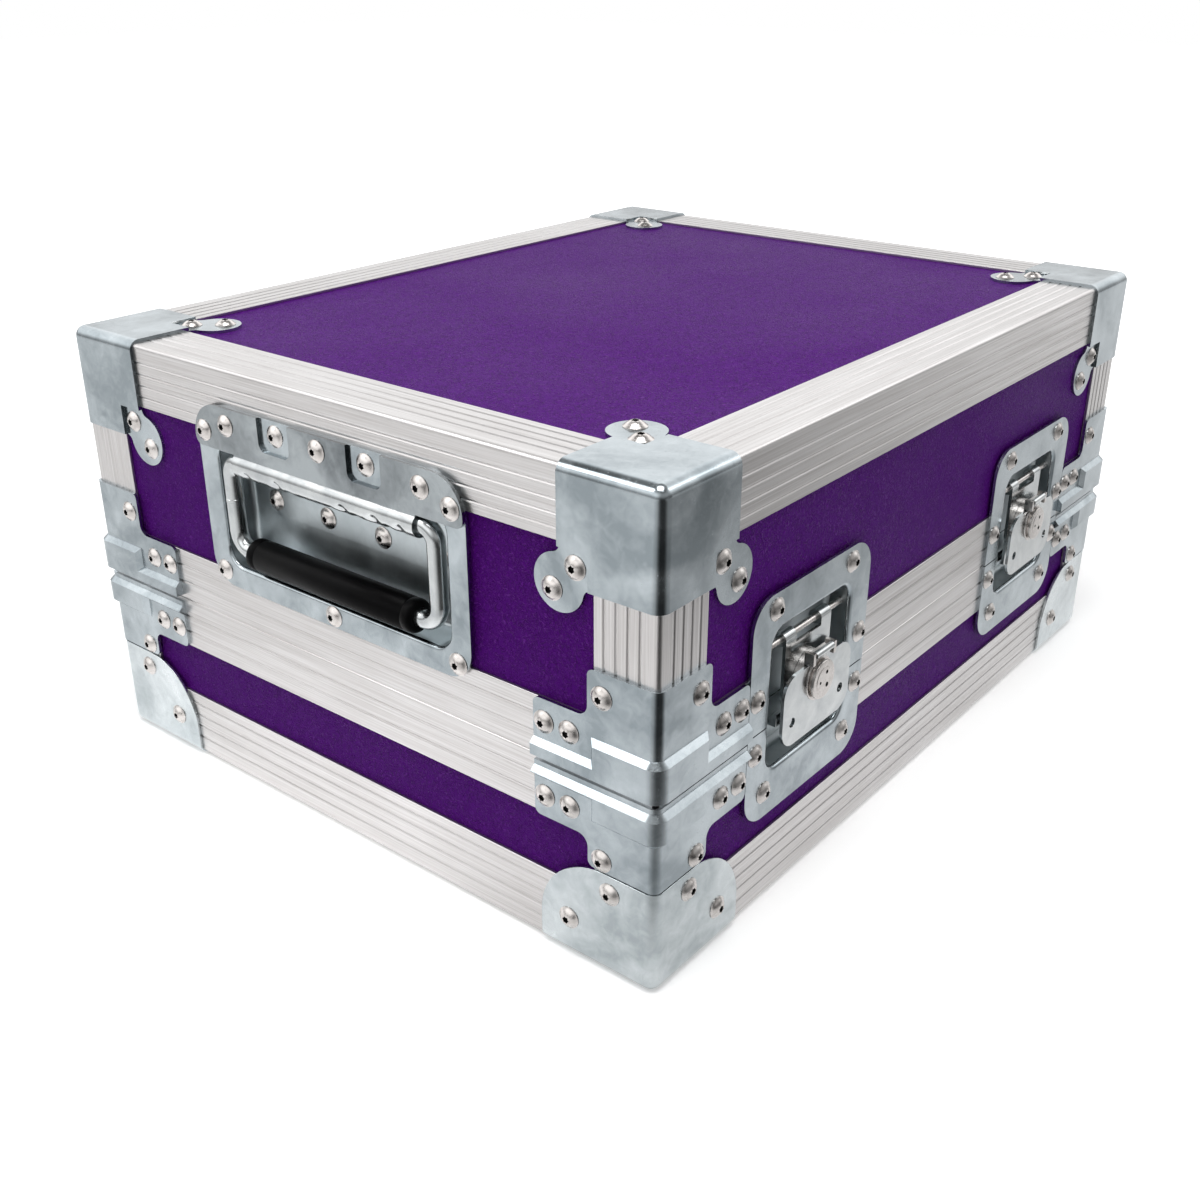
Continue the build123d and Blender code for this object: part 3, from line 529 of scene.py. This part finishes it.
# %% Handle and latch dishes
slack = 0.0004
handle_mouth_half, handle_mouth_down, handle_mouth_up = 0.071, 0.033, 0.027
handle_depth = 0.0175
latch_mouth_half = 0.031
latch_mouths = {"upper": (0.0002, 0.043), "lower": (-0.0225, -0.0002)}
latch_depth = 0.013
split_z = 0.090
for side, sign in sides.items():
    node = f"handle_dish_{side}"
    low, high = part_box(node)
    middle = (low + high) / 2
    reach = handle_mouth_half + slack
    mouth_low = Vector((0, middle.y - reach, middle.z - handle_mouth_down - slack))
    mouth_high = Vector((0, middle.y + reach, middle.z + handle_mouth_up + slack))
    drawn_dish(node, 0, low.x if sign < 0 else high.x, handle_depth, mouth_low, mouth_high)
    for part, (down, up) in latch_mouths.items():
        node = f"latch_{part}_dish_{side}"
        low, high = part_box(node)
        middle = (low + high) / 2
        reach = latch_mouth_half + slack
        mouth_low = Vector((middle.x - reach, 0, split_z + down - slack))
        mouth_high = Vector((middle.x + reach, 0, split_z + up + slack))
        drawn_dish(node, 1, low.y, latch_depth, mouth_low, mouth_high)
print("dishes rolled at the mouth by", mouth_roll * 1000, "mm")

# %% [markdown]
# The handle turns in a tube that is rolled from the hinge plate itself. The real roller leaves flats
# and thumb-sized dents along it. The tube's wall is drawn anew: a long thin strip is spun about the
# rod in many steps, and its outer points are pressed in where the tool has struck. A dent is given by
# its place along the tube, its half length, the turn of its middle, its spread in degrees and its
# depth.

# %% Rolled tube
tube_radius = 0.0056
tube_bore = 0.0041
tube_half = 0.0565
tube_from, tube_to = -174.0, 54.0
tube_rows, tube_steps = 113, 48
deepest_dent = 0.0014
dents = (
    (0.048, 0.0042, -35, 42, 0.0010), (0.028, 0.0044, -30, 44, 0.0014),
    (0.020, 0.0034, -64, 40, 0.0011), (-0.006, 0.0030, -66, 38, 0.0008),
    (-0.014, 0.0046, -32, 42, 0.0014), (-0.022, 0.0034, -62, 40, 0.0011),
    (-0.033, 0.0048, -30, 44, 0.0014), (-0.041, 0.0032, -62, 42, 0.0012),
    (-0.048, 0.0038, -34, 46, 0.0012),
)


def press_in(along, turn):
    """How deep the surface is pressed at a place along the tube and a turn in degrees."""
    depth = 0.0
    for place, length, middle, spread, deepest in dents:
        miss = ((along - place) / length) ** 2 + ((turn - middle) / spread) ** 2
        if miss < 1.0:
            depth += deepest * (1.0 - miss) ** 2
    return min(depth, deepest_dent)


def dented_tube(sign):
    """A wall about the Y axis, which leaves the plate at one turn and comes back to the leaf."""
    bm = bmesh.new()
    bmesh.ops.create_grid(bm, x_segments=1, y_segments=tube_rows, size=0.5)
    wall = tube_radius - tube_bore
    bmesh.ops.scale(bm, verts=bm.verts, vec=(wall, 2 * tube_half, 1))
    bmesh.ops.translate(bm, verts=bm.verts, vec=(tube_bore + wall / 2, 0, 0))
    start = Matrix.Rotation(math.radians(-tube_from), 4, "Y")
    bmesh.ops.transform(bm, matrix=start, verts=bm.verts)
    bmesh.ops.spin(
        bm, geom=bm.faces[:], cent=(0, 0, 0), axis=(0, -1, 0),
        angle=math.radians(tube_to - tube_from), steps=tube_steps, use_duplicate=False,
    )
    for vert in bm.verts:
        x, along, z = vert.co
        if math.hypot(x, z) > tube_radius - hair:
            turn = math.degrees(math.atan2(z, x))
            share = 1.0 - press_in(along, turn) / tube_radius
            vert.co = (x * share, along, z * share)
    bmesh.ops.scale(bm, verts=bm.verts, vec=(sign, 1, 1))
    bmesh.ops.recalc_face_normals(bm, faces=bm.faces)
    for face in bm.faces:
        face.material_index = 1
    return bm


# %% [markdown]
# In each hinge plate the dented tube takes the place of the plain one. Behind it the leaf runs a
# little farther down the dish than in the CAD, so that its rivets show under the tube. The plate, the
# tube and the leaf each have their own zinc.

# %% Handle hinges
leaf_drop = 0.011
on_low_edge = 0.00005
tube_slack = 0.0001


def handle_middle(node, side):
    """The middle of a handle's piece, on the line that the handle lifts about."""
    low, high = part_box(node)
    pivot = pivots[f"handle_{side}_lift"]
    return Vector((pivot.x, (low.y + high.y) / 2, pivot.z))


def on_tube(face, centre):
    """True where a face is part of the plain tube."""
    spokes = [v.co - centre for v in face.verts]
    return all(math.hypot(spoke.x, spoke.z) < tube_radius + tube_slack for spoke in spokes)


for side, sign in sides.items():
    node = f"handle_hinge_{side}"
    bm = merged_copy(node)
    centre = handle_middle(node, side)
    bmesh.ops.delete(bm, geom=[f for f in bm.faces if on_tube(f, centre)], context="FACES")
    low_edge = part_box(node)[0].z
    for vert in bm.verts:
        if abs(vert.co.z - low_edge) < on_low_edge:
            vert.co.z -= leaf_drop
    for face in bm.faces:
        behind = sign * (face.calc_center_median().x - centre.x) < -tube_radius
        face.material_index = 2 if behind else 0
    tube = dented_tube(sign)
    bmesh.ops.translate(tube, verts=tube.verts, vec=centre)
    join_on(bm, tube)
    piece = dressed(node, zinc_dark, zinc_small, zinc_pan, shape=bm)
    print(node, "faces", len(piece.data.polygons))

# %% [markdown]
# The bail is one round steel rod, bent four times and welded shut in one leg. A circle is pushed
# along its path: straight runs extrude it and bends spin it, which is just what a bending machine
# does to the rod. The weld is a narrow band that stands a little proud.

# %% Bails
rod_radius = 0.004
rod_segments = 20
bail_span = 0.064
bail_drop = 0.042
upper_bend = 0.0065
lower_bend = 0.0085
stub = 0.028
bend_steps = 9
weld_at = 0.44 * bail_drop
weld_profile = (
    (rod_radius - 0.0002, -0.0011), (rod_radius + 0.00015, -0.0007),
    (rod_radius + 0.00015, 0.0007), (rod_radius - 0.0002, 0.0011),
)
top = bail_span - upper_bend
bottom = bail_span - lower_bend
leg = bail_drop - upper_bend - lower_bend
low_z = lower_bend - bail_drop
runs = ((0, top - stub, 0), (0, 0, -leg), (0, -2 * bottom, 0), (0, 0, leg), (0, top - stub, 0))
bends = ((0, top, -upper_bend), (0, bottom, low_z), (0, -bottom, low_z), (0, -top, -upper_bend))


def push_on(bm, cap, way):
    """Extrudes the rod's cap along a straight run, and gives the new cap."""
    made = bmesh.ops.extrude_face_region(bm, geom=cap)["geom"]
    bmesh.ops.translate(bm, verts=[g for g in made if isinstance(g, bmesh.types.BMVert)], vec=way)
    return [g for g in made if isinstance(g, bmesh.types.BMFace)]


def bend_on(bm, cap, centre):
    """Spins the rod's cap a quarter turn about a bend's centre, and gives the new cap."""
    made = bmesh.ops.spin(
        bm, geom=cap, cent=centre, axis=(-1, 0, 0), angle=math.radians(90), steps=bend_steps,
        use_duplicate=False,
    )["geom_last"]
    return [g for g in made if isinstance(g, bmesh.types.BMFace)]


for side, sign in sides.items():
    node = f"handle_bail_{side}"
    centre = handle_middle(node, side)
    bm = bmesh.new()
    start = laid_along_y(centre + Vector((0, stub, 0)))
    bmesh.ops.create_circle(
        bm, segments=rod_segments, radius=rod_radius, cap_ends=True, matrix=start)
    cap = push_on(bm, bm.faces[:], runs[0])
    for bend, run in zip(bends, runs[1:]):
        cap = push_on(bm, bend_on(bm, cap, centre + Vector(bend)), run)
    weld = spun(weld_profile, rod_segments)
    weld_place = centre + Vector((0, -sign * bail_span, -weld_at))
    bmesh.ops.translate(weld, verts=weld.verts, vec=weld_place)
    join_on(bm, weld)
    bmesh.ops.recalc_face_normals(bm, faces=bm.faces)
    piece = stand_in(bm, node, "rod", math.radians(40), zinc_small)
    print(node, "faces", len(piece.data.polygons))

# %% [markdown]
# The grip is a rubber tube pushed over the rod. Its ends are rounded, with a shallow groove behind
# each, where the mould closed. One end's profile is a list of radii and of places back from the end,
# and the other end is its mirror image.

# %% Grips
grip_radius = 0.0075
groove = 0.00045
grip_end = (
    (rod_radius + 0.0001, 0.0), (grip_radius - 0.0016, 0.0), (grip_radius - 0.0005, 0.0004),
    (grip_radius, 0.0014), (grip_radius, 0.0042), (grip_radius - groove, 0.0047),
    (grip_radius - groove, 0.0053), (grip_radius, 0.0058),
)


def grip_profile(half):
    """The outline of the grip's wall, from one end to the other and back through its bore."""
    end = [(radius, half - back) for radius, back in grip_end]
    return end + [(radius, -height) for radius, height in reversed(end)] + end[:1]


for side in sides:
    node = f"handle_grip_{side}"
    low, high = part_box(node)
    bm = spun(grip_profile((high.y - low.y) / 2), 40)
    bmesh.ops.transform(bm, matrix=laid_along_y((low + high) / 2), verts=bm.verts)
    piece = stand_in(bm, node, "moulded", math.radians(50), rubber)
    print(node, "faces", len(piece.data.polygons))

# %% [markdown]
# The latch is worked by a fan-shaped wing on a turned barrel. The barrel stands well in front of the
# wing, with a washer, a groove and three small holes in its face. It is one more turned profile, in
# radius and height from the dish's face, and its holes are discs of painted shade a hair in front of
# it.

# %% Turned barrel
barrel = (
    (0.0, 0.0056), (0.0099, 0.0056), (0.0099, 0.0060), (0.0096, 0.0062), (0.0074, 0.0062),
    (0.0074, 0.0071), (0.0086, 0.0071), (0.0088, 0.0073), (0.0088, 0.0081), (0.0085, 0.0084),
    (0.0079, 0.0085), (0.0062, 0.0085), (0.0060, 0.0087), (0.0056, 0.00875), (0.0, 0.00875),
)
hole_z = 0.00879
barrel_holes = ((0.0036, 65, 0.0009), (0.0036, -55, 0.0011), (0.0034, 185, 0.0007))


def turned_barrel(centre):
    """The barrel, which faces -Y, with each hole at a reach and a turn, and of a radius."""
    bm = spun(barrel, 48)
    for face in bm.faces:
        face.material_index = 1
    for reach, turn, radius in barrel_holes:
        spoke = Matrix.Translation((reach, 0, hole_z))
        place = Matrix.Rotation(math.radians(turn), 4, "Z") @ spoke
        made = bmesh.ops.create_circle(
            bm, segments=14, radius=radius, cap_ends=True, matrix=place)
        for face in {f for v in made["verts"] for f in v.link_faces}:
            # the hole discs take the near-black painted shade
            face.material_index = 2
    bmesh.ops.transform(bm, matrix=laid_along_y(centre), verts=bm.verts)
    return bm


# %% [markdown]
# To make room for the barrel, the wing's plate and the hub lie a little farther back in the finished
# copies than in the CAD. Their faces are found by how far they stand in front of the dish. The plain
# boss of the wing goes, as the barrel takes its place.

# %% Latch wings and hubs
plate_shift = 0.0023
wing_back = 0.0065
wing_front = 0.0080
boss_front = 0.0088
hub_front = 0.0062
lug_foot = 0.0047
below_pin = 0.0016
for side in sides:
    face_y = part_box(f"latch_upper_dish_{side}")[0].y + sheet
    plate_top = pivots[f"wing_{side}_fold"].z - below_pin
    axis = pivots[f"hub_{side}_turn"]
    wing = merged_copy(f"latch_wing_{side}")
    boss = [f for f in wing.faces if any(near(face_y - v.co.y, boss_front) for v in f.verts)]
    bmesh.ops.delete(wing, geom=boss, context="FACES")
    for vert in wing.verts:
        out = face_y - vert.co.y
        if vert.co.z < plate_top and (near(out, wing_back) or near(out, wing_front)):
            vert.co.y += plate_shift
    join_on(wing, turned_barrel(Vector((axis.x, face_y, axis.z))))
    dressed(f"latch_wing_{side}", zinc_small, nickel, shadow_black, shape=wing)
    hub = merged_copy(f"latch_hub_{side}")
    for vert in hub.verts:
        out = face_y - vert.co.y
        if near(out, hub_front):
            vert.co.y += plate_shift
        elif near(out, lug_foot):
            vert.co.y += plate_shift / 2
    dressed(f"latch_hub_{side}", nickel, shape=hub)
stands = (boss_front - wing_front + plate_shift) * 1000
print("barrels stand", stands, "mm in front of the wings")

# %% [markdown]
# Each family of nodes has its own finish. The panels keep their CAD mesh, because only their flat
# faces show, and everything made of metal becomes a finished copy. A node takes its finish by its
# name where that is listed, and else by its slot. Foam and rivets come later.

# %% Give every node its finish
finishes = {
    "base_corners": zinc_painted_floor_light, "lid_uprights": extrusion_z, "base_uprights": extrusion_z,
    "lid_rim": extrusion_rim, "base_rim": extrusion_rim,
}
for half in ("lid", "base"):
    for place in ("front", "back"):
        finishes[f"{half}_edge_{place}"] = extrusion_x
    for place in ("left", "right"):
        finishes[f"{half}_edge_{place}"] = extrusion_y
by_slot = {"zinc_sheet": zinc, "bright_steel": nickel}
small_parts = ("latch_swing", "latch_hook", "latch_keeper")
made_above = ("handle_", "latch_upper_dish", "latch_lower_dish", "latch_wing", "latch_hub")
for node in sorted(nodes):
    by_name = zinc_small if node.startswith(small_parts) else finishes.get(node)
    finish = by_name or by_slot.get(slot_of[node])
    if slot_of[node] == "laminate":
        nodes[node].data.materials.clear()
        nodes[node].data.materials.append(laminate)
    elif finish and not node.startswith(made_above):
        dressed(node, finish)

# %% [markdown]
# A rivet's head is a low dome with a thin flat rim. Its mandrel is gone, and the socket that is left
# in the middle has six small lobes. The dome is a profile turned about its axis, and the socket's
# ring is then pushed in and out around the turn. The socket's faces take the near-black painted
# shade.

# %% One rivet head
head_radius = 0.005
head_height = 0.0026
sphere_radius = (head_radius**2 + head_height**2) / (2 * head_height)
rim_thickness = 0.0003
dome_shares = (0.30, 0.45, 0.62, 0.80, 0.93, 1.0)
socket_radius = 0.0014
socket_depth = 0.0010
socket_lip = 0.00008
lobe = 0.15


def dome(radius):
    """The dome's height at a distance from the middle."""
    return max(rim_thickness, math.sqrt(sphere_radius**2 - radius**2) - sphere_radius + head_height)


def rivet_head():
    """A head that stands on the plane of Z = 0."""
    floor_z = head_height - socket_depth
    lip_z = dome(socket_radius) - socket_lip
    rings = [(0.0, floor_z), (socket_radius, floor_z), (socket_radius, lip_z)]
    rings += [(share * head_radius, dome(share * head_radius)) for share in dome_shares]
    bm = spun(rings + [(head_radius, 0.0), (0.0, 0.0)], 36)
    for vert in bm.verts:
        reach = math.hypot(vert.co.x, vert.co.y)
        if 0 < reach < socket_radius * 1.1:
            wave = 1.0 + lobe * math.cos(6 * math.atan2(vert.co.y, vert.co.x))
            vert.co.x *= wave
            vert.co.y *= wave
    for face in bm.faces:
        middle = face.calc_center_median()
        in_socket = math.hypot(middle.x, middle.y) < socket_radius * 1.02
        # the socket's faces take the painted shade
        face.material_index = 1 if in_socket else 0
    return bm


one_head = rivet_head()
head_mesh = bpy.data.meshes.new("one rivet head")
one_head.to_mesh(head_mesh)
one_head.free()
print("one head has", len(head_mesh.polygons), "faces")

# %% [markdown]
# Each set of rivets is one node of many solids. Every solid's largest face is its flat back, so its
# middle is the seat of a head, and the head faces the other way. The heads are each turned a little
# differently, as real ones are, and those on a handle's leaf go down with it.

# %% Rivets in their seats
turn_between = 2.4
leaf_within = 0.210


def rivet_seats(node):
    """Where each head of a set is seated, and which way it faces."""
    bm = merged_copy(node)
    seats = []
    waiting = set(bm.faces)
    while waiting:
        island = [waiting.pop()]
        for face in island:
            beside = {other for edge in face.edges for other in edge.link_faces} & waiting
            waiting -= beside
            island.extend(beside)
        base = max(island, key=lambda f: f.calc_area())
        seats.append((base.calc_center_median(), -base.normal))
    bm.free()
    return sorted(seats, key=lambda s: tuple(round(c, 4) for c in s[0]))


for node in ("lid_rivets", "base_rivets"):
    bm = bmesh.new()
    seats = rivet_seats(node)
    for index, (seat, out) in enumerate(seats):
        on_leaf = abs(out.x) > 0.9 and abs(seat.x) < leaf_within
        if on_leaf:
            seat.z -= leaf_drop
        before = len(bm.verts)
        bm.from_mesh(head_mesh)
        bm.verts.ensure_lookup_table()
        turn = Matrix.Rotation(index * turn_between, 4, "Z")
        facing = out.to_track_quat("Z", "Y").to_matrix().to_4x4() @ turn
        placed = Matrix.Translation(seat) @ facing
        bmesh.ops.transform(bm, matrix=placed, verts=bm.verts[before:])
    piece = stand_in(bm, node, "domed", math.radians(50), nickel, shadow_black)
    print(node, "heads", len(seats), "faces", len(piece.data.polygons))

# %% [markdown]
# The lining is closed-cell foam sheet, cut a little proud and pressed in, so its edges are round and
# its face waves slightly. A grid gives enough points for a gentle wave, and the sheet is then given
# its thickness.

# %% Foam lining
foam_edge = 0.0025
foam_sunk = 0.0004
foam_wave = 0.0003
waves_per_metre = 30.0


def foam_sheet(node, up):
    """A sheet that fills its node's box, with a soft edge and a wavy face, up or down."""
    low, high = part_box(node)
    size = high - low
    bm = bmesh.new()
    bmesh.ops.create_grid(bm, x_segments=48, y_segments=38, size=0.5)
    flat = (size.x - 2 * foam_edge, size.y - 2 * foam_edge, 1)
    bmesh.ops.scale(bm, verts=bm.verts, vec=flat)
    made = bmesh.ops.extrude_face_region(bm, geom=bm.faces[:])["geom"]
    raised = [g for g in made if isinstance(g, bmesh.types.BMVert)]
    bmesh.ops.translate(bm, verts=raised, vec=(0, 0, size.z))
    bmesh.ops.recalc_face_normals(bm, faces=bm.faces)
    rims = [e for e in bm.edges if len(e.link_faces) == 2 and e.calc_face_angle() > 1.0]
    bmesh.ops.bevel(
        bm, geom=rims, offset=foam_edge * 0.9, segments=3, profile=0.5, affect="EDGES", material=-1)
    face_z = size.z if up > 0 else 0.0
    for vert in bm.verts:
        if abs(vert.co.z - face_z) <= 1e-5:
            wave = foam_wave * noise.noise(vert.co * waves_per_metre)
            vert.co.z = face_z - up * (foam_sunk + wave)
    middle = ((low.x + high.x) / 2, (low.y + high.y) / 2, low.z)
    bmesh.ops.translate(bm, verts=bm.verts, vec=middle)
    piece = stand_in(bm, node, "sheet", math.radians(60), foam_black)
    print(node, "faces", len(piece.data.polygons))


foam_sheet("base_foam", 1)
foam_sheet("lid_foam", -1)

# %% [markdown]
# The studio is a pale floor and a pale backdrop under soft lamps. What the camera sees of them is
# white, but plated steel looks the way it does because of what it mirrors, and a real studio isn't
# white all round. It is bright behind the case and at its sides, darker in front of it, and darkest in
# the room behind the camera. So the floor and the backdrop show mirrored rays another brightness than
# the camera, by the bearing and the distance or height that a ray meets them at. These helpers tell
# the rays and the bearings apart.

# %% Rays and bearings
backdrop_side = (0.2, 0.98, 0.0)
camera_side = (-0.63, -0.77, 0.0)


def kinds_of_ray(tree):
    """One where the camera looks, and one where a mirrored or a refracted ray does."""
    rays = add_node(tree, "ShaderNodeLightPath").outputs
    mirrored = math_node(tree, "MAXIMUM", rays["Is Glossy Ray"], rays["Is Transmission Ray"])
    return rays["Is Camera Ray"], mirrored


def vector_node(tree, operation, output, *vectors):
    ends = dict(enumerate(vectors))
    return add_node(tree, "ShaderNodeVectorMath", ends, operation=operation).outputs[output]


print("backdrop towards", backdrop_side, "camera towards", camera_side)

# %% [markdown]
# The floor is lit by the lamps and takes the case's soft shadow, and it glows enough to turn white
# for the camera a little way out. For mirrored rays it is bright close round the case and again far
# out, and it loses that light towards the front, and most of all towards the camera. Each ramp below
# is two distances in metres, or two bearings, and the values at them where they aren't 0 and 1.

# %% Floor
floor_size = 12.0
seen_ramp = (0.35, 1.1, 0.28, 1.0)
near_ramp = (0.22, 0.42, 0.66, 0.14)
far_ramp = (0.6, 1.6, 0.0, 0.40)
front_ramp = (0.25, 0.55, 0.72, 0.34)
front_to_side = (-0.75, -0.25)
towards_camera = (0.88, 0.98)
room_starts = (0.30, 0.42)
room_share = 0.12
floor_white = 0.90
bpy.ops.mesh.primitive_plane_add(size=floor_size, location=(0, 0, -0.0002))
floor = bpy.context.object
floor.name = "studio_floor"
floor_finish, tree, shader = new_material("studio floor", 0.0, 0.9)
shader.inputs["Specular IOR Level"].default_value = 0.0
shader.inputs["Emission Color"].default_value = (1.0, 1.0, 1.0, 1.0)
seen, mirrored = kinds_of_ray(tree)
place = object_place(tree)
away = vector_node(tree, "LENGTH", "Value", place)
bearing = vector_node(tree, "NORMALIZE", "Vector", place)
behind = vector_node(tree, "DOT_PRODUCT", "Value", bearing, backdrop_side)
before = vector_node(tree, "DOT_PRODUCT", "Value", bearing, camera_side)
side_share = remap(tree, behind, *front_to_side, remap(tree, away, *front_ramp), 1.0)
room = times(tree, remap(tree, before, *towards_camera), remap(tree, away, *room_starts))
share = times(tree, side_share, remap(tree, room, 0.0, 1.0, 1.0, room_share))
rings = plus(tree, remap(tree, away, *near_ramp), remap(tree, away, *far_ramp))
lost = times(tree, mirrored, minus(tree, 1.0, share))
shade = remap(tree, lost, 0.0, 1.0, floor_white, 0.0)
base_colour = mix_colour(tree, shade, (0.0, 0.0, 0.0), (1.0, 1.0, 1.0))
seen_glow = times(tree, seen, remap(tree, away, *seen_ramp))
mirror_glow = times(tree, mirrored, times(tree, share, rings))
tree.links.new(base_colour, shader.inputs["Base Color"])
tree.links.new(plus(tree, seen_glow, mirror_glow), shader.inputs["Emission Strength"])
floor.data.materials.append(floor_finish)
print(floor.name, "is", floor_size, "m wide")

# %% [markdown]
# The backdrop is the world. It is white for the camera, and lights the case from all sides at less
# than half that. Mirrored, it is dim behind the camera and near the floor, brightest at a middling
# height, where a real backdrop catches the lamps, and grey overhead, which gives plated steel its
# dark lines.

# %% Backdrop
world_fill = 0.42
mirror_dark, mirror_dim, mirror_bright = 0.22, 0.30, 1.8
wall_ramp = (-0.70, -0.25, mirror_dim, 1.0)
low_ramp = (0.12, 0.36, mirror_dim, 1.0)
high_ramp = (0.58, 0.80, mirror_bright, mirror_dark)
world = bpy.data.worlds.new("studio")
bpy.context.scene.world = world
world.use_nodes = True
tree = world.node_tree
backdrop = tree.nodes["Background"]
backdrop.inputs["Color"].default_value = (1.0, 1.0, 1.0, 1.0)
seen, mirrored = kinds_of_ray(tree)
direction = add_node(tree, "ShaderNodeTexCoord").outputs["Generated"]
height = add_node(tree, "ShaderNodeSeparateXYZ", {0: direction}).outputs["Z"]
behind = vector_node(tree, "DOT_PRODUCT", "Value", direction, backdrop_side)
lifted = times(tree, remap(tree, height, *low_ramp), remap(tree, height, *high_ramp))
shine = times(tree, remap(tree, behind, *wall_ramp), lifted)
plain = remap(tree, seen, 0.0, 1.0, world_fill, 1.0)
shown = times(tree, minus(tree, 1.0, mirrored), plain)
strength = plus(tree, shown, times(tree, mirrored, shine))
tree.links.new(strength, backdrop.inputs["Strength"])
print("backdrop mirrored from", mirror_dark, "to", mirror_bright)

# %% [markdown]
# Three square soft boxes light the case. The large one overhead makes the soft shadow round its
# foot, the left one lights its left end from behind, and a weak one at the right opens the front.


# %% Lamps
def soft_lamp(name, place, target, size, power):
    """A square area lamp that looks at its target."""
    light = bpy.data.lights.new(name, "AREA")
    light.shape = "SQUARE"
    light.size = size
    light.energy = power
    lamp = bpy.data.objects.new(name, light)
    lamp.location = place
    lamp.rotation_euler = (Vector(target) - Vector(place)).to_track_quat("-Z", "Y").to_euler()
    bpy.context.scene.collection.objects.link(lamp)
    print(name, power, "W")


soft_lamp("overhead lamp", (-0.30, -0.20, 1.5), (0, 0, 0.1), size=0.9, power=17.0)
soft_lamp("left lamp", (-1.0, 0.9, 1.45), (-0.1, 0, 0.1), size=0.6, power=5.0)
soft_lamp("right lamp", (1.15, -0.95, 1.3), (0.1, 0, 0.1), size=0.5, power=1.6)

# %% [markdown]
# The camera stands where the photograph's camera stood. Its place, its direction and its lens were
# found by fitting the case's long edges to those in the photograph.

# %% Camera
camera_place = Vector((-0.563, -0.425, 0.3776))
camera_look = Vector((0.7038, 0.5661, -0.4291))
camera_lens = 41.1
camera_data = bpy.data.cameras.new("camera")
camera_data.lens = camera_lens
camera_data.sensor_width = 36.0
camera = bpy.data.objects.new("camera", camera_data)
camera.location = camera_place
camera.rotation_euler = camera_look.to_track_quat("-Z", "Y").to_euler()
bpy.context.scene.collection.objects.link(camera)
bpy.context.scene.camera = camera
bpy.context.scene.view_settings.view_transform = "Standard"
print("camera lens", camera_lens, "mm")
